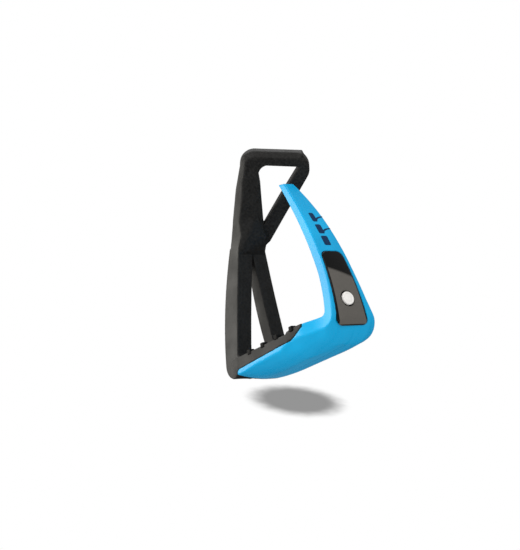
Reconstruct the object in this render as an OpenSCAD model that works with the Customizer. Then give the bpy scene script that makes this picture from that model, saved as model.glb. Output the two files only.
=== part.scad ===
// Stirrup iron of the flexible-branch kind.
// X runs from the horse side (-) to the outer side (+), Y from front to back and Z up.
// The origin is on the resting plane, below the middle of the overall box.
// Heights inside the modules are measured from a level one belly above that plane,
// and the parts are lifted by the belly where they are drawn.

/* [Overall] */
// Depth of the tread from front to back
tread_depth = 55; // [52:1:58]
// Height of the tread's upper face above that level
tread_top = 17.5; // [16.5:0.5:19]
// How far the underside of the tread bulges below that level
belly = 2; // [1:0.5:2.5]
// Distance from the middle of the tread to the outer face of the outer branch
outer_reach = 62.7; // [61:0.1:66]

/* [Inner branch] */
// Thickness of the inner branch at its foot
foot_thickness = 17; // [15:0.5:18]
// Height at which the two legs meet
fork_height = 98; // [90:1:102]
// Depth of the branch from front to back above the fork
neck_depth = 25; // [22:0.5:28]

/* [Leather eye] */
// Turn of the eye away from the plane of the arch, in degrees
eye_turn = 45; // [40:1:50]
// Lean of the eye's plane, in degrees
eye_tilt = 36; // [32:1:40]
// Thickness of the bars around the eye
eye_thickness = 12; // [10:0.5:13]

/* [Outer branch] */
// Height of the free tip
tip_height = 131.8; // [126:0.1:134]
// Thickness of the sleeve at its foot
sleeve_thickness = 9.5; // [9:0.1:11]
// Width of the sleeve at the tip
tip_width = 9.5; // [9:0.5:12]
// Thickness of the spring steel blade
blade_thickness = 1.5; // [1.2:0.1:1.8]

/* [Tread grip] */
// Height of a stud above the grip plate
stud_height = 2.4; // [1.5:0.1:3]
// Radius of a stud at its base
stud_radius = 2.3; // [1.8:0.1:2.6]
// Distance between studs along a row
stud_pitch = 17.5; // [16:0.5:18]

/* [Hidden] */
$fn = 48;

gap = 0.3;
curve_steps = 20;

// Foot of the inner branch, where the tread hinges on a hidden pin
foot_in = -46.9;
foot_out = foot_in - foot_thickness;
foot_round = 13;
branch_lean = 0.0020;
pin_x = -55.8;
pin_z = 8;
pin_r = 2;
pin_front = -23;
pin_back = 22;
knuckle_r = 4.5;
knuckle_half = 12.6;
cheek_in = knuckle_half + gap;
heel_wall = 3.3;
buffer_half = 10;
buffer_low = 11.5;
buffer_high = 16.5;
buffer_let_in = 0.8;
buffer_t = 0.95;
foot_rise = 1.8;
legs_top = 106;
neck_inset = 0.25;
ledge_z = 11;
tail_x = -51.4;

// Tread
half_depth = tread_depth / 2;
bevel_z = 6;
keel_half = 17.5;
belly_from = -19;
belly_to = 20;
belly_curve_in = 0.003;
belly_curve_out = 0.0028;
bend_x = 43;
outer_half = 21;
corner_r = 12.2;
corner_x = outer_reach - corner_r;
corner_z = corner_r + gap;
corner_fillet = 3.5;
plate_inner = -43;
plate_outer = 29;
plate_rim = 2.2;
plate_depth = 2.6;
seam_low = 9.3;
seam_middle = 12.3;
seam_rise_x = 18;
seam_end_x = 33.5;

stud_middle = -3.25;
stud_seat = 1.2;
stud_row = 0.41;
screw_inset = 5;
screw_y = 8.5;
head_r = 3.1;
head_t = 1.6;
shank_r = 1.5;
cleat_half = 2.6;
cleat_depth = 4.6;
cleat_drop = 3.8;

// Steel parts inside the tread
keel_x0 = -42;
keel_x1 = 36;
keel_bottom = 5;
blade_half = 10;
blade_z = 6.9;
blade_end = 38;
clamp_t = 1.5;
rivet_r = 2;

// Outer branch
sleeve_base = 8;
tip_slant = 3;
tip_thinning = 3;
lean_start = 20;
lean_gain = 0.00653;
lean_power = 1.833;
branch_blade_top = 119;
cover_low = 9.5;
cover_high = 68.5;
cover_t = 3;
cover_stand = 0.5;
cap_z = 31;
cap_r = 5;
screw_r = 2;
mark_heights = [78, 88.5, 99.5];
mark_half_height = 4.2;
mark_shift = 1.15;

function lerp(a, b, t) = a + (b - a) * t;

// Faces of the inner branch in front view, as distances from the middle plane at height z
function branch_out(z) = foot_out + branch_lean * pow(max(z - 15, 0), 2);
function branch_in(z) = foot_in + 0.10 * max(z - tread_top, 0) + 0.0005 * pow(max(z - tread_top, 0), 2);

// Outer edge and inner edge of the legs in side view
function leg_out(z) = max(min(half_depth, half_depth - 2 - 0.148 * (z - tread_top)), neck_depth / 2 - 0.3);
function leg_in(z) = 0.16 * (fork_height - z);

// Faces of the outer branch in front view
function sleeve_out(z) = outer_reach - lean_gain * pow(max(z - lean_start, 0), lean_power);
function sleeve_in(z) = sleeve_out(z) - sleeve_thickness + tip_thinning * pow(z / tip_height, 3);

// Half width of the outer branch at height z: quick taper above the corner, slow taper to the tip
function sleeve_half(z) =
    z < 60 ? lerp(11.6, 20, pow((60 - z) / 52, 1.35))
           : lerp(tip_width / 2, 11.6, pow((tip_height - z) / (tip_height - 60), 0.85));

// Rounded corner of an outline: centre c, radius r, from angle a0 to angle a1
function arc(c, r, a0, a1, n = 8) =
    [for (i = [0 : n]) let (a = lerp(a0, a1, i / n)) [c[0] + r * cos(a), c[1] + r * sin(a)]];

// Lays an outline drawn in X and Z through the depth, from y0 to y1
module through_depth(y0, y1) {
    translate([0, y1, 0]) rotate([90, 0, 0]) linear_extrude(height = y1 - y0) children();
}

// Lays an outline drawn in Y and Z along X, from x0 to x1
module along_x(x0, x1) {
    translate([x0, 0, 0]) rotate([90, 0, 90]) linear_extrude(height = x1 - x0) children();
}

// Puts its children in the eye's own plane: X along the top bar, Y up the plane
module in_eye_plane() {
    translate([14, 0, 160]) rotate([0, 0, eye_turn]) rotate([90 + eye_tilt, 0, 0]) children();
}

// ---- Inner branch ----

eye_outline = concat(
    arc([-17.4, -0.6], 9, 165, 75),
    [[22.5, -1.5]],
    arc([17.8, -11.5], 7.6, 40, -35),
    [[-15, -61], [-22, -66], [-50, -66], [-43.5, -42], [-35.5, -20]]);

eye_hole = concat(
    arc([-9.6, -8.6], 5, 170, 90, 5),
    [[17.5, -10.9], [-4.5, -33.5], [-20.5, -48.5]],
    [[-17.8, -32], [-15.4, -19]]);

module eye_plate() {
    in_eye_plane() translate([0, 0, -eye_thickness / 2]) linear_extrude(height = eye_thickness)
        difference() {
            polygon(eye_outline);
            polygon(eye_hole);
        }
}

module legs() {
    heights = [for (i = [0 : curve_steps]) lerp(foot_rise, legs_top, i / curve_steps)];
    upper = [for (z = heights) if (z > foot_round + foot_rise) z];
    front_view = concat(
        arc([foot_out + foot_round, foot_round + foot_rise], foot_round, 270, 180),
        [for (z = upper) [branch_out(z), z]],
        [for (i = [len(upper) - 1 : -1 : 0]) [branch_in(upper[i]), upper[i]]],
        [[foot_in, foot_rise]]);
    side_view = concat(
        [for (z = heights) [leg_out(z), z]],
        [for (i = [curve_steps : -1 : 0]) [-leg_out(heights[i]), heights[i]]]);
    intersection() {
        through_depth(-half_depth, half_depth) polygon(front_view);
        along_x(foot_out - 1, -20)
            difference() {
                polygon(side_view);
                polygon([[-leg_in(tread_top), tread_top], [leg_in(tread_top), tread_top], [0, fork_height]]);
            }
    }
}

// Blends the top of the legs into the foot of the eye, just inside the faces of both
module neck() {
    low = fork_height - 1;
    high = legs_top - 0.7;
    half = neck_depth / 2 - 0.3 - neck_inset;
    hull() {
        through_depth(-half, half)
            polygon([[branch_out(low) + neck_inset, low], [branch_out(high) + neck_inset, high],
                     [branch_in(high) - neck_inset, high], [branch_in(low) - neck_inset, low]]);
        in_eye_plane() translate([0, 0, neck_inset - eye_thickness / 2])
            linear_extrude(height = eye_thickness - 2 * neck_inset)
                polygon([[-22.2, -65.7], [-49.5, -65.7], [-43.3, -42.4], [-24.5, -42.4], [-20.4, -60]]);
    }
}

module inner_branch() {
    heel_x = foot_out + heel_wall;
    color([0.11, 0.11, 0.11])
    difference() {
        union() {
            legs();
            neck();
            eye_plate();
        }
        // pocket for the knuckle of the tread
        translate([heel_x, -cheek_in, -1]) cube([40, 2 * cheek_in, tread_top + 1]);
        // step that lets the tail of the tread reach under the legs
        through_depth(-half_depth - 1, half_depth + 1)
            polygon([[tail_x - 0.35, ledge_z], [foot_in + 5, ledge_z],
                     [foot_in + 5, -1], [tail_x - 1.6, -1]]);
        // seat of the buffer in the heel
        translate([heel_x - buffer_let_in, -buffer_half - 0.05, buffer_low - 0.05])
            cube([buffer_let_in + 1, 2 * buffer_half + 0.1, buffer_high - buffer_low + 0.1]);
        // blind bore for the hinge pin, open at the back
        translate([pin_x, pin_front, pin_z]) rotate([-90, 0, 0]) cylinder(r = pin_r, h = 60);
    }
}

module hinge_pin() {
    color("silver")
    translate([pin_x, pin_front + 0.1, pin_z]) rotate([-90, 0, 0])
        cylinder(r = pin_r - 0.02, h = pin_back - pin_front - 0.1);
}

module pin_plug() {
    color([0.11, 0.11, 0.11])
    translate([pin_x, pin_back + 0.1, pin_z]) rotate([-90, 0, 0])
        cylinder(r = pin_r, h = half_depth - pin_back - 0.5);
}

module heel_buffer() {
    color([0.0, 0.45, 0.7])
    translate([foot_out + heel_wall - buffer_let_in, -buffer_half, buffer_low])
        cube([buffer_t, 2 * buffer_half, buffer_high - buffer_low]);
}

// ---- Tread ----

// Outline of the tread seen from above
function tread_half(x) = lerp(half_depth, outer_half, pow(max(x - 5, 0) / 50, 1.6));

plan_outline = concat(
    [for (i = [0 : curve_steps]) let (x = lerp(tail_x, corner_x, i / curve_steps)) [x, -tread_half(x)]],
    [for (i = [curve_steps : -1 : 0]) let (x = lerp(tail_x, corner_x, i / curve_steps)) [x, tread_half(x)]]);

// Height of the underside along the tread: flat in the middle, rising towards both ends
function underside(x) =
    -belly + (x < belly_from ? belly_curve_in * pow(x - belly_from, 2)
              : x > belly_to ? belly_curve_out * pow(x - belly_to, 2) : 0);

// Everything inside the underside and the large outer bend, seen from the front
module outer_bend() {
    bend_r = outer_reach - bend_x;
    through_depth(-40, 40)
        polygon(concat(
            [for (i = [0 : curve_steps])
                let (x = lerp(tail_x - 1, bend_x, i / curve_steps)) [x, underside(x)]],
            arc([bend_x, underside(bend_x) + bend_r], bend_r, -90, 0, 16),
            [[outer_reach, 2 * tip_height], [tail_x - 1, 2 * tip_height]]));
}

// Whole tread up to the round seat of the corner
module tread_body() {
    difference() {
        intersection() {
            translate([0, 0, -belly]) linear_extrude(height = tread_top + belly) polygon(plan_outline);
            along_x(tail_x - 1, corner_x + 1)
                polygon([[-keel_half, -belly], [keel_half, -belly],
                         [half_depth, bevel_z], [half_depth, tread_top],
                         [-half_depth, tread_top], [-half_depth, bevel_z]]);
            outer_bend();
        }
        translate([corner_x, -40, corner_z]) rotate([-90, 0, 0]) cylinder(r = corner_r + gap, h = 80);
        translate([corner_x, -40, -belly - 1]) cube([20, 80, 30]);
    }
}

// Height of the seam between the black core and the coloured shell
function seam(x) =
    x < seam_rise_x
    ? lerp(seam_low, seam_middle, (x - tail_x) / (seam_rise_x - tail_x))
    : lerp(seam_middle, tread_top + 1.8, pow((x - seam_rise_x) / (seam_end_x - seam_rise_x), 1.6));

seam_line = [for (i = [0 : curve_steps])
    let (x = lerp(tail_x - 1, seam_end_x, i / curve_steps)) [x, seam(x)]];

module above_seam() {
    through_depth(-40, 40)
        polygon(concat(seam_line, [[seam_end_x, 30], [tail_x - 1, 30]]));
}

module keel() {
    translate([keel_x0, -blade_half - 2, keel_bottom])
        cube([keel_x1 - keel_x0, 2 * blade_half + 4, 10]);
}

module screw_places() {
    for (x = [plate_inner + screw_inset, plate_outer - screw_inset], y = [-screw_y, screw_y])
        translate([x, y, 0]) children();
}

module rivet_places() {
    for (x = [-28, -8, 12], y = [-5, 5]) translate([x, y, 0]) children();
}

module knuckle() {
    translate([pin_x, -knuckle_half, pin_z]) rotate([-90, 0, 0])
        cylinder(r = knuckle_r, h = 2 * knuckle_half);
    translate([pin_x - knuckle_r, -knuckle_half, pin_z])
        cube([tail_x - pin_x + knuckle_r + 1, 2 * knuckle_half, tread_top - pin_z]);
    translate([pin_x - 2.5, -knuckle_half, 1.5])
        cube([tail_x - pin_x + 3.5, 2 * knuckle_half, pin_z - 1.5]);
}

module tread_core() {
    color([0.13, 0.13, 0.12])
    difference() {
        union() {
            intersection() {
                tread_body();
                union() {
                    above_seam();
                    keel();
                }
            }
            knuckle();
        }
        // overhang of the legs, with room to turn down
        for (side = [-1, 1])
            translate([tail_x - 5, side > 0 ? knuckle_half : -40, ledge_z - gap])
                cube([foot_in + gap - tail_x + 5, 40 - knuckle_half, 20]);
        // seats of the grip plate and of the cleats
        grip_plate_body(9);
        cleats(0.1);
        // slot of the blade and its clamp, open below
        translate([keel_x0 + 2, -blade_half - 0.1, keel_bottom - 1])
            cube([blade_end - keel_x0, 2 * blade_half + 0.2, blade_z + blade_thickness - keel_bottom + 1.05]);
        translate([pin_x, -40, pin_z]) rotate([-90, 0, 0]) cylinder(r = pin_r + 0.06, h = 80);
        screw_places() translate([0, 0, tread_top - plate_depth - 5]) cylinder(r = shank_r, h = 9);
        rivet_places() translate([0, 0, keel_bottom - 2]) cylinder(r = rivet_r, h = 8.4);
    }
}

module tread_shell() {
    color([0.05, 0.6, 0.85])
    difference() {
        tread_body();
        above_seam();
        translate([keel_x0, -blade_half - 2, keel_bottom]) cube([keel_x1 - keel_x0, 2 * blade_half + 4, 20]);
        translate([0, -blade_half - 0.1, blade_z - 0.05])
            cube([blade_end + 0.2, 2 * blade_half + 0.2, blade_thickness + 0.1]);
        translate([tail_x - 1, -knuckle_half - 0.05, -belly - 1]) cube([2.05, 2 * knuckle_half + 0.1, 22]);
        grip_plate_body(9);
        cleats(0.1);
    }
}

// The plate follows the edge of the tread, one rim's width inside it
module grip_plate_body(height) {
    xs = [for (i = [0 : curve_steps]) lerp(plate_inner, plate_outer, i / curve_steps)];
    translate([0, 0, tread_top - plate_depth]) linear_extrude(height = height)
        polygon(concat(
            [for (x = xs) [x, plate_rim - tread_half(x)]],
            [for (i = [curve_steps : -1 : 0]) [xs[i], tread_half(xs[i]) - plate_rim]]));
}

module grip_plate() {
    color([0.16, 0.15, 0.14])
    difference() {
        grip_plate_body(plate_depth);
        screw_places() {
            translate([0, 0, tread_top - plate_depth - 1]) cylinder(r = shank_r, h = 9);
            translate([0, 0, tread_top - head_t]) cylinder(r1 = shank_r, r2 = head_r, h = head_t);
        }
        stud_places() translate([0, 0, tread_top - stud_seat]) cylinder(r = stud_radius, h = 5);
        cleats(0.1);
    }
}

// Place of stud i in a row of count studs
function stud_x(i, count) = stud_middle + (i - (count - 1) / 2) * stud_pitch;

// Three rows of round studs
module stud_places() {
    for (row = [-1 : 1])
        let (count = row == 0 ? 4 : 3)
            for (i = [0 : count - 1])
                let (x = stud_x(i, count)) translate([x, row * stud_row * tread_half(x), 0]) children();
}

// Square cleats along both edges, let into the rim down the wall
module cleats(extra) {
    for (side = [-1, 1], i = [0 : 3])
        let (x = stud_x(i, 4), y0 = tread_half(x) - cleat_depth - extra, y1 = tread_half(x) + extra * 10)
            translate([x - cleat_half - extra, side > 0 ? y0 : -y1, tread_top - cleat_drop - extra])
                cube([2 * (cleat_half + extra), y1 - y0, cleat_drop + stud_height + 10 * extra]);
}

module grip_studs() {
    color([0.08, 0.08, 0.08]) {
        stud_places() translate([0, 0, tread_top - stud_seat]) rotate_extrude()
            polygon([[0, 0], [stud_radius, 0], [stud_radius, stud_seat],
                     [stud_radius - 0.5, stud_seat + stud_height - 0.6],
                     [stud_radius - 1.1, stud_seat + stud_height], [0, stud_seat + stud_height]]);
        cleats(0);
    }
}

module grip_screws() {
    color("dimgray")
    screw_places() difference() {
        translate([0, 0, tread_top - plate_depth - 4.6]) union() {
            cylinder(r = shank_r, h = 4.6 + plate_depth - head_t);
            translate([0, 0, 4.6 + plate_depth - head_t]) cylinder(r1 = shank_r, r2 = head_r, h = head_t);
        }
        translate([0, 0, tread_top - 1.2]) cylinder(r = 1.25, h = 3, $fn = 6);
    }
}

module tread_blade() {
    color("slategray")
    difference() {
        translate([keel_x0 + 2.1, -blade_half, blade_z])
            cube([blade_end - keel_x0 - 2.1, 2 * blade_half, blade_thickness]);
        rivet_places() translate([0, 0, blade_z - 1]) cylinder(r = rivet_r, h = 4);
    }
}

module blade_clamp() {
    color("slategray")
    difference() {
        translate([keel_x0 + 3, -blade_half + 0.5, blade_z - clamp_t])
            cube([60, 2 * blade_half - 1, clamp_t]);
        rivet_places() translate([0, 0, 0]) cylinder(r = rivet_r, h = 12);
    }
}

module blade_rivets() {
    color("silver")
    rivet_places() translate([0, 0, blade_z - clamp_t])
        cylinder(r = rivet_r - 0.02, h = clamp_t + blade_thickness + 2.8);
}

// ---- Outer branch ----

sleeve_heights = [for (i = [0 : curve_steps + 4]) lerp(sleeve_base, tip_height, i / (curve_steps + 4))];

// The branch as seen from the front
module sleeve_front_view() {
    zs = [for (i = [0 : curve_steps]) lerp(corner_z, tip_height, i / curve_steps)];
    tip_end = tip_height + tip_slant;
    polygon(concat(
        [for (z = zs) [sleeve_out(z), z]],
        [[sleeve_in(tip_end), tip_end]],
        [for (i = [curve_steps : -1 : 0]) [sleeve_in(zs[i]), zs[i]]]));
}

// A layer along the outer face as seen from the front, from depth below it to stand above it
module outer_layer(depth, stand, z0, z1) {
    zs = [for (i = [0 : curve_steps]) lerp(z0, z1, i / curve_steps)];
    polygon(concat(
        [for (z = zs) [sleeve_out(z) + stand, z]],
        [for (i = [curve_steps : -1 : 0]) [sleeve_out(zs[i]) - depth, zs[i]]]));
}

// The round foot of the branch, flush with the tread on top, with a fillet up to the inner face
module sleeve_foot() {
    difference() {
        translate([corner_x, -30, corner_z]) rotate([-90, 0, 0]) cylinder(r = corner_r, h = 60);
        translate([corner_x - 20, -31, tread_top]) cube([30, 62, 20]);
    }
    foot_x = sleeve_in(tread_top) - corner_fillet;
    through_depth(-30, 30)
        polygon(concat(
            arc([foot_x, tread_top + corner_fillet], corner_fillet, 270, 360),
            [[foot_x + corner_fillet + 1, tread_top + corner_fillet],
             [foot_x + corner_fillet + 1, tread_top - 1], [foot_x, tread_top - 1]]));
}

module sleeve_body() {
    intersection() {
        outer_bend();
        union() {
            through_depth(-30, 30) sleeve_front_view();
            sleeve_foot();
        }
        along_x(0, outer_reach + 5)
            polygon(concat(
                [[outer_half, 0]],
                [for (z = sleeve_heights) [sleeve_half(z), z]],
                [[tip_width / 2 - 0.8, tip_height + tip_slant],
                 [0.8 - tip_width / 2, tip_height + tip_slant]],
                [for (i = [curve_steps + 4 : -1 : 0]) [-sleeve_half(sleeve_heights[i]), sleeve_heights[i]]],
                [[-outer_half, 0]]));
    }
}

function blade_mid(z) = (sleeve_in(z) + sleeve_out(z)) / 2 - 0.6;

module branch_blade_body(extra) {
    zs = [for (i = [0 : curve_steps]) lerp(12, branch_blade_top, i / curve_steps)];
    t = blade_thickness / 2 + extra;
    intersection() {
        through_depth(-20, 20)
            polygon(concat(
                [for (z = zs) [blade_mid(z) + t, z]],
                [for (i = [curve_steps : -1 : 0]) [blade_mid(zs[i]) - t, zs[i]]]));
        along_x(0, 80)
            polygon([[-8 - extra, 0], [8 + extra, 0], [3 + extra, branch_blade_top + extra],
                     [-3 - extra, branch_blade_top + extra]]);
    }
}

// Outline of the cover in side view, grown by extra
function cover_half(z) = lerp(13.4, 9.2, (z - cover_low) / (cover_high - cover_low));

module cover_outline(extra) {
    low = cover_half(cover_low) + extra;
    high = cover_half(cover_high) + extra;
    r = 3.5 + extra;
    polygon(concat(
        arc([low - r, cover_low + r - extra], r, -90, 0, 6),
        arc([high - r, cover_high - r + extra], r, 0, 90, 6),
        arc([-high + r, cover_high - r + extra], r, 90, 180, 6),
        arc([-low + r, cover_low + r - extra], r, 180, 270, 6)));
}

module cover_body(extra, back, stand) {
    intersection() {
        through_depth(-20, 20) outer_layer(back, stand, cover_low - 3, cover_high + 3);
        along_x(30, 80) cover_outline(extra);
    }
}

// Puts its children at the fastening of the cover, Z pointing out of the branch
module at_fastening() {
    translate([sleeve_out(cap_z), 0, cap_z]) rotate([0, 85, 0]) children();
}

// A rounded bar let into the outer face, a little behind its middle
module grip_mark(z, depth, extra = 0) {
    half = sleeve_half(z) * 0.42 - mark_shift;
    h = mark_half_height;
    r = 1.2;
    intersection() {
        through_depth(-20, 20) outer_layer(depth, 0, z - 8, z + 8);
        translate([0, mark_shift, 0]) along_x(20, 80)
            polygon(concat(
                arc([half - r, z - h + r], r + extra, -90, 0, 4),
                arc([half - r, z + h - r], r + extra, 0, 90, 4),
                arc([-half + r, z + h - r], r + extra, 90, 180, 4),
                arc([-half + r, z - h + r], r + extra, 180, 270, 4)));
    }
}

module branch_sleeve() {
    color([0.05, 0.6, 0.85])
    difference() {
        sleeve_body();
        branch_blade_body(0.05);
        cover_body(0.15, cover_t - cover_stand + 0.02, 5);
        for (z = mark_heights) grip_mark(z, 0.9, 0.02);
        at_fastening() translate([0, 0, -7.2]) cylinder(r = 3.4, h = 9);
    }
}

module branch_blade() {
    color("slategray")
    difference() {
        branch_blade_body(0);
        at_fastening() translate([0, 0, -12]) cylinder(r = 3.4, h = 20);
    }
}

module branch_cover() {
    color([0.08, 0.08, 0.08])
    difference() {
        cover_body(0, cover_t - cover_stand, cover_stand);
        at_fastening() translate([0, 0, -9]) cylinder(r = screw_r + 0.1, h = 20);
        at_fastening() translate([0, 0, -0.6]) cylinder(r = cap_r + 0.15, h = 20);
    }
}

module cover_nut() {
    color("goldenrod")
    at_fastening() translate([0, 0, -7]) difference() {
        cylinder(r = 3.35, h = 4.4);
        translate([0, 0, 1]) cylinder(r = screw_r + 0.02, h = 9);
    }
}

module cover_screw() {
    color("silver")
    at_fastening() union() {
        translate([0, 0, -5.6]) cylinder(r = screw_r, h = 5);
        translate([0, 0, -0.6]) cylinder(r = 3.3, h = 0.9);
    }
}

module cover_cap() {
    color([0.92, 0.9, 0.86])
    at_fastening() difference() {
        translate([0, 0, -0.6]) rotate_extrude()
            polygon(concat([[0, 0], [cap_r, 0], [cap_r, 1.3]],
                           [for (i = [1 : 6]) let (a = 15 * i) [cap_r - 1 + cos(a), 1.3 + 0.9 * sin(a)]],
                           [[0, 2.3]]));
        translate([0, 0, -1]) cylinder(r = 3.35, h = 1.35);
    }
}

module grip_mark_upper() {
    color([0.05, 0.2, 0.35])
    grip_mark(mark_heights[2], 0.9);
}

module grip_mark_middle() {
    color([0.05, 0.2, 0.35])
    grip_mark(mark_heights[1], 0.9);
}

module grip_mark_lower() {
    color([0.05, 0.2, 0.35])
    grip_mark(mark_heights[0], 0.9);
}

translate([0, 0, belly]) inner_branch();
translate([0, 0, belly]) hinge_pin();
translate([0, 0, belly]) pin_plug();
translate([0, 0, belly]) heel_buffer();
translate([0, 0, belly]) tread_core();
translate([0, 0, belly]) tread_shell();
translate([0, 0, belly]) grip_plate();
translate([0, 0, belly]) grip_studs();
translate([0, 0, belly]) grip_screws();
translate([0, 0, belly]) tread_blade();
translate([0, 0, belly]) blade_clamp();
translate([0, 0, belly]) blade_rivets();
translate([0, 0, belly]) branch_sleeve();
translate([0, 0, belly]) branch_blade();
translate([0, 0, belly]) branch_cover();
translate([0, 0, belly]) cover_screw();
translate([0, 0, belly]) cover_nut();
translate([0, 0, belly]) cover_cap();
translate([0, 0, belly]) grip_mark_upper();
translate([0, 0, belly]) grip_mark_middle();
translate([0, 0, belly]) grip_mark_lower();
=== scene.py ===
import copy
import math

import bmesh
import bpy
import numpy as np
from mathutils import Matrix, Vector


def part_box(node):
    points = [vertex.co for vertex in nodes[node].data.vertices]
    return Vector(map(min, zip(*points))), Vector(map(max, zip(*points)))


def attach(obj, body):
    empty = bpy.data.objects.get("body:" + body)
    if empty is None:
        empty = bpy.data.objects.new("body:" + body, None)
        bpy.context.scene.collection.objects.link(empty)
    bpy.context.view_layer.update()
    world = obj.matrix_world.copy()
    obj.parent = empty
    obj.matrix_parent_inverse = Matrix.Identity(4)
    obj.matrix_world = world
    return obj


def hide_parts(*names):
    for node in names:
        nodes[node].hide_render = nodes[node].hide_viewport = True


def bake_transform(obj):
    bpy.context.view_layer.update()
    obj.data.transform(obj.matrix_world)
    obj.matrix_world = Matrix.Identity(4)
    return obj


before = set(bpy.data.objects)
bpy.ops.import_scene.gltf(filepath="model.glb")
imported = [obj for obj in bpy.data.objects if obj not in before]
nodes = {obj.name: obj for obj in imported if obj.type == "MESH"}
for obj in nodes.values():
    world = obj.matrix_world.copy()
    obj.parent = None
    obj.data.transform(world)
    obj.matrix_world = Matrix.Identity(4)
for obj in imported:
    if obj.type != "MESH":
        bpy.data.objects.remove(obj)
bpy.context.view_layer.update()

MM = 1000.0


def box_mm(node):
    low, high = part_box(node)
    return np.array(low) * MM, np.array(high) * MM


# ---- Sizes in millimetres, from the frame's own boxes ----

inner_low, inner_high = box_mm("inner_branch")
core_high = box_mm("tread_core")[1]
shell_low = box_mm("tread_shell")[0]
sleeve_high = box_mm("branch_sleeve")[1]
plate_low, plate_high = box_mm("grip_plate")
cover_low, cover_high = box_mm("branch_cover")
pin_low, pin_high = box_mm("hinge_pin")

ground = shell_low[2]            # lowest point of the belly
lift = ground + 2.0              # heights of the mould start one belly above it
step = 0.55                      # sample distance of the two large skins

# inner branch
foot_out = inner_low[0]
foot_in = foot_out + 17.0
half_depth = inner_high[1]
fork_height = 98.0 + lift
legs_top = 106.0 + lift
sole = 1.8 + lift                # underside of the legs
leg_taper = 0.148                # how fast the legs lean towards each other
post_half = 12.2                 # half the depth of the post above the fork
window_y = 0.5                   # middle of the window between the legs
window_spread = 0.16             # Y of its lower rear corner, for each mm of its height

# tread
tread_top = core_high[2]
ledge_z = 11.0 + lift            # top of the tail that reaches into the foot
tail_x = -51.4                   # inner end of the tread, beside the knuckle
knuckle_half = 12.6
wall_inset = 0.25                # the cleats stand this much proud of the wall
seam_rise_x = 18.0               # where the seam starts to climb
seam_end_x = 33.5                # where it reaches the rim
stud_pitch = 17.5
stud_middle = -3.25

# hinge pin
pin_x = (pin_low[0] + pin_high[0]) / 2
pin_z = (pin_low[2] + pin_high[2]) / 2
pin_bore = 2.15

# outer branch
outer_reach = sleeve_high[0]
tip_end = sleeve_high[2]
tip_height = tip_end - 3.0
waist_z = 60.0 + lift            # where the branch starts to narrow faster
waist_half, root_half, tip_half = 11.6, 20.0, 4.75
bend_x = 43.0
bend_r = outer_reach - bend_x    # radius of the outer corner
crown_rate = 0.0022              # how fast the outer face falls back towards its edges
cover_proud = 0.42               # height of the cover over the sleeve


def lerp(a, b, t):
    return a + (b - a) * t


def smooth(x, a, b):
    t = np.clip((x - a) / (b - a), 0, 1)
    return t * t * (3 - 2 * t)


# ---- Profiles of the object ----

def branch_out(z):
    """X of the inner branch's outer face."""
    return foot_out + 0.0020 * np.maximum(z - 15 - lift, 0) ** 2


def branch_in(z):
    """X of the face that it turns to the rider's foot."""
    rise = np.maximum(z - tread_top, 0)
    return foot_in + 0.10 * rise + 0.0005 * rise ** 2


def leaning_half(z):
    """Half depth of the legs, which lean towards each other until they meet in the post."""
    return half_depth - 2 - leg_taper * (z - tread_top)


def leg_out(z):
    """Half depth of the inner branch, from its foot up into the post."""
    return np.maximum(np.minimum(half_depth, leaning_half(z)), post_half)


def sleeve_out(z):
    """X of the outer branch's outer face along its middle."""
    return outer_reach - 0.00653 * np.maximum(z - 20 - lift, 0) ** 1.833


def sleeve_in(z):
    """X of the outer branch's inner face: the branch gets thinner towards its tip."""
    return sleeve_out(z) - 9.5 + 3 * (np.maximum(z - lift, 0) / (tip_height - lift)) ** 3


def sleeve_half(z):
    """Half depth of the outer branch on its front side."""
    low = lerp(waist_half, root_half, (np.maximum(waist_z - z, 0) / 52) ** 1.35)
    high = lerp(tip_half, waist_half, (np.maximum(tip_height - z, 0) / (tip_height - waist_z)) ** 0.85)
    return np.where(z < waist_z, low, high)


def rear_swell(z):
    """How much further the branch reaches on its rear side than on its front side."""
    return (3.2 + 1.8 * smooth(-z, -34, -10)) * smooth(tip_end + 18 - z, 0, 55)


def tread_swell(x):
    """The same for the tread, which widens into the branch."""
    return 3.4 * smooth(x, 14, 56)


def rim(x):
    """Top edge of the tread's walls, which climbs towards the outer branch."""
    return tread_top + 2.8 * smooth(x, -24, 36)


def tread_half(x):
    """Half depth of the tread, which narrows towards the outer branch."""
    return lerp(half_depth, 21, (np.maximum(x - 5, 0) / 50) ** 1.6)


def underside(x):
    """Height of the belly, flat in the middle and curved up at both ends."""
    rise = np.where(x < -19, 0.0021 * (x + 19) ** 2, np.where(x > 20, 0.0028 * (x - 20) ** 2, 0))
    return ground + rise


def seam(x):
    """Height of the line between the black core and the shell: a slow rise, then a quick one to the rim."""
    slow = lerp(7.9, 11.0, (np.minimum(x, seam_rise_x) - tail_x) / (seam_rise_x - tail_x))
    t = np.clip((x - seam_rise_x) / (seam_end_x - seam_rise_x), 0, 1)
    quick = (tread_top - lift - 10.5) * t ** 1.6
    return lift + slow + quick + 6 * np.maximum(x - seam_end_x, 0)


# ---- Distance fields: negative inside, in millimetres ----

def round_max(a, b, r):
    """Intersection of two shapes with its edge rounded to radius r."""
    u, v = np.maximum(r + a, 0), np.maximum(r + b, 0)
    return np.minimum(-r, np.maximum(a, b)) + np.sqrt(u * u + v * v)


def round_min(a, b, r):
    """Union of two shapes with its corner filled to radius r."""
    return -round_max(-a, -b, r)


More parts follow.
